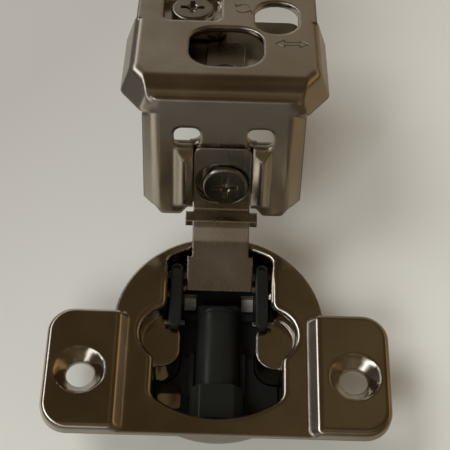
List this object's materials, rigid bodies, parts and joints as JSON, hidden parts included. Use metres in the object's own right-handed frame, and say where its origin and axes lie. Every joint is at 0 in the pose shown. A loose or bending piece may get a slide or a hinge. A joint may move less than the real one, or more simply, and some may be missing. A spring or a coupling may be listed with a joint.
{
  "type": "soft close hinge",
  "caption": "Pressed steel cabinet hinge for a face frame, with a round cup, a soft close damper, a bent arm and an adjustable bracket that wraps the frame's edge.",
  "frame": {"origin": "axis of the 35 mm cup in the plane of the door's inner face, with the door fully open", "axes": "+Z out of the door's inner face, +Y from the cup to the door's hinge edge, +X along that edge"},
  "size_m": [0.0568, 0.0823, 0.04],
  "materials": {
    "nickel_plated_steel": "bright nickel plate over pressed sheet",
    "black_plastic": "satin moulded black",
    "screw_steel": "plated screws, pins and springs"
  },
  "bodies": {
    "cup": {"hinge_cup": "nickel_plated_steel", "pivot_pin": "screw_steel", "mechanism_tray": "black_plastic", "damper_end_housing": "black_plastic", "damper_piston_rod": "screw_steel", "left_closing_spring": "screw_steel", "right_closing_spring": "screw_steel"},
    "damper_slider": {"damper_cylinder": "black_plastic", "damper_rear_cap": "black_plastic", "pusher_yoke": "black_plastic", "left_pusher": "black_plastic", "right_pusher": "black_plastic", "left_pusher_dowel": "screw_steel", "right_pusher_dowel": "screw_steel", "left_pusher_pin": "screw_steel", "right_pusher_pin": "screw_steel"},
    "arm": {"hinge_arm": "nickel_plated_steel"},
    "bracket": {"face_bracket": "nickel_plated_steel"},
    "side_cam": {"side_cam_screw": "screw_steel"},
    "frame_plate": {"fixing_plate": "nickel_plated_steel"},
    "height_cam": {"height_cam_screw": "screw_steel", "height_cam_retainer": "screw_steel"}
  },
  "joints": [
    {"name": "door_swing", "type": "hinge", "parent": "cup", "child": "arm", "pos_m": [0, 0.0129, -0.0042], "axis": [1, 0, 0], "range_deg": [0, 105]},
    {"name": "damper_slide", "type": "slide", "parent": "cup", "child": "damper_slider", "axis": [0, -1, 0], "range_m": [0, 0.003]},
    {"name": "side_adjust", "type": "slide", "parent": "arm", "child": "bracket", "axis": [0, 0.2588, 0.9659], "range_m": [-0.0004, 0.0004]},
    {"name": "side_cam_turn", "type": "hinge", "parent": "bracket", "child": "side_cam", "pos_m": [0, 0.02267, 0.01037], "axis": [0, 0.9659, -0.2588], "range_deg": [-53.13, 53.13]},
    {"name": "height_adjust", "type": "slide", "parent": "bracket", "child": "frame_plate", "axis": [1, 0, 0], "range_m": [-0.0012, 0.0012]},
    {"name": "height_cam_turn", "type": "hinge", "parent": "bracket", "child": "height_cam", "pos_m": [-0.0061, 0.05189, 0.02086], "axis": [0, -0.2588, -0.9659], "range_deg": [-53.13, 53.13]}
  ],
  "couplings": [
    {"joint": "damper_slide", "follows": "door_swing", "m_per_rad": 0.001637},
    {"joint": "side_cam_turn", "follows": "side_adjust", "rad_per_m": 2317.5},
    {"joint": "height_cam_turn", "follows": "height_adjust", "rad_per_m": 772.7}
  ]
}
